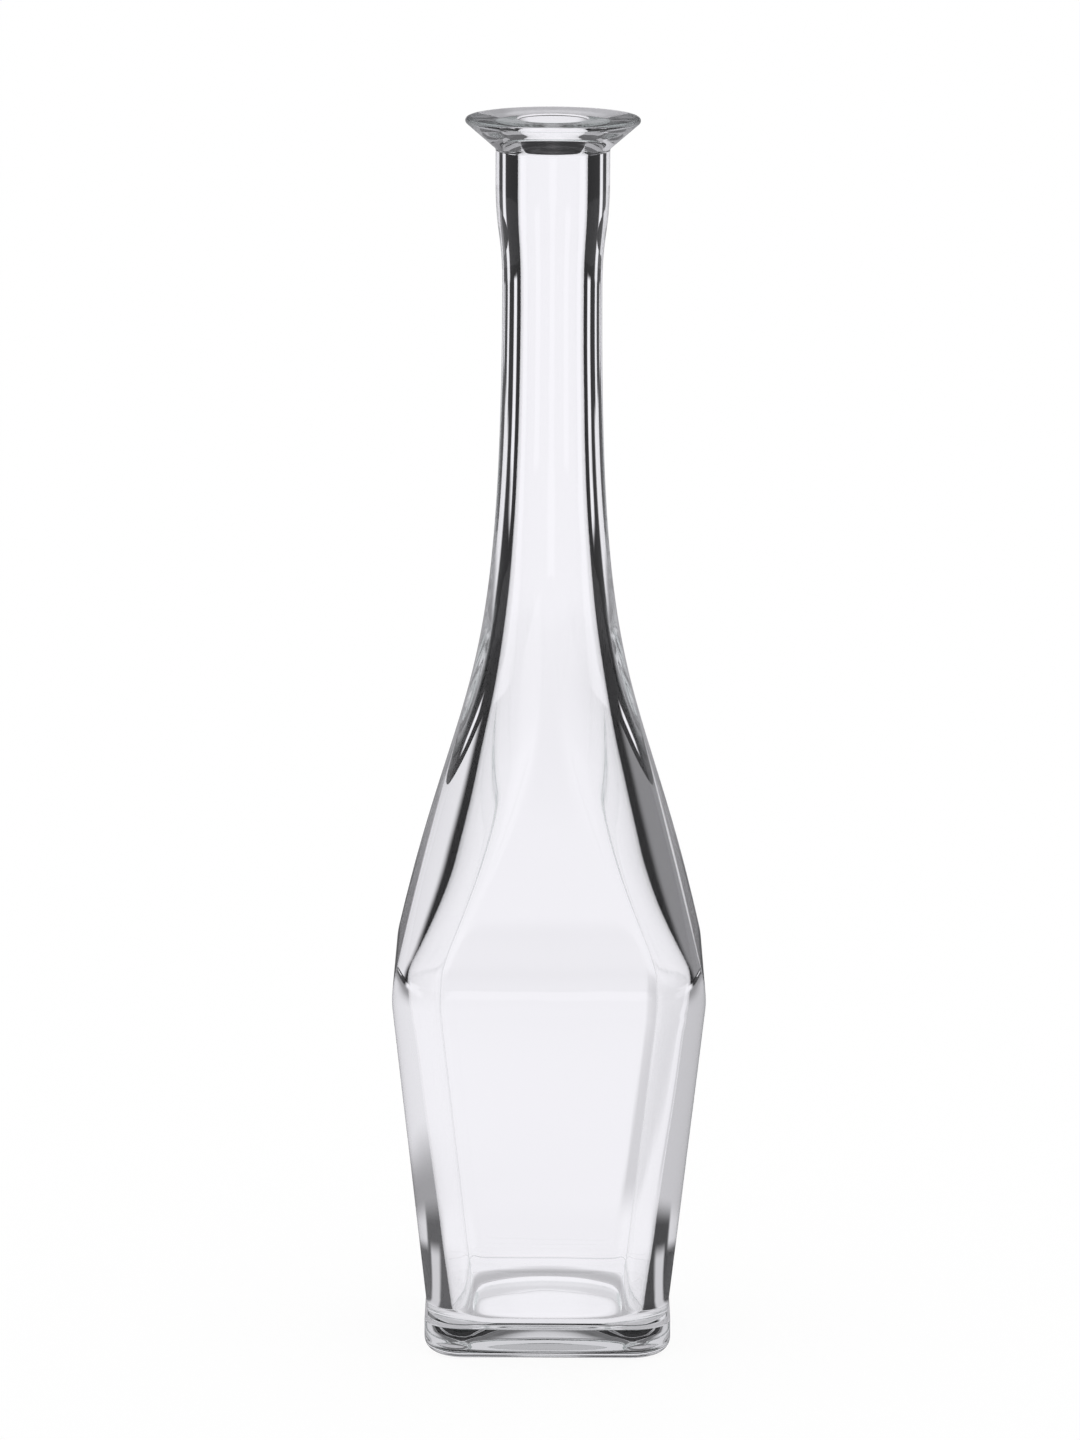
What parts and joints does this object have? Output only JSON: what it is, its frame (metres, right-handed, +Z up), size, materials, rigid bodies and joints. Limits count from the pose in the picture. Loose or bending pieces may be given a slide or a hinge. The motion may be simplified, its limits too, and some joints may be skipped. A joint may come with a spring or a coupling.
{
  "type": "oil bottle",
  "caption": "Tall clear glass oil bottle: square tapered body with a stepped heel, long sweep to a slim round neck, wide flared collar and open mouth.",
  "frame": {"origin": "centre of the base, on the surface that the bottle stands on", "axes": "+Z up the bottle's axis to the mouth, X and Y square to the four flat flanks"},
  "size_m": [0.0768, 0.0768, 0.305],
  "materials": {
    "clear_glass": "fire-polished clear flint glass, faintly grey-green where it is thick"
  },
  "bodies": {
    "root": {"glass_bottle": "clear_glass"}
  },
  "joints": []
}
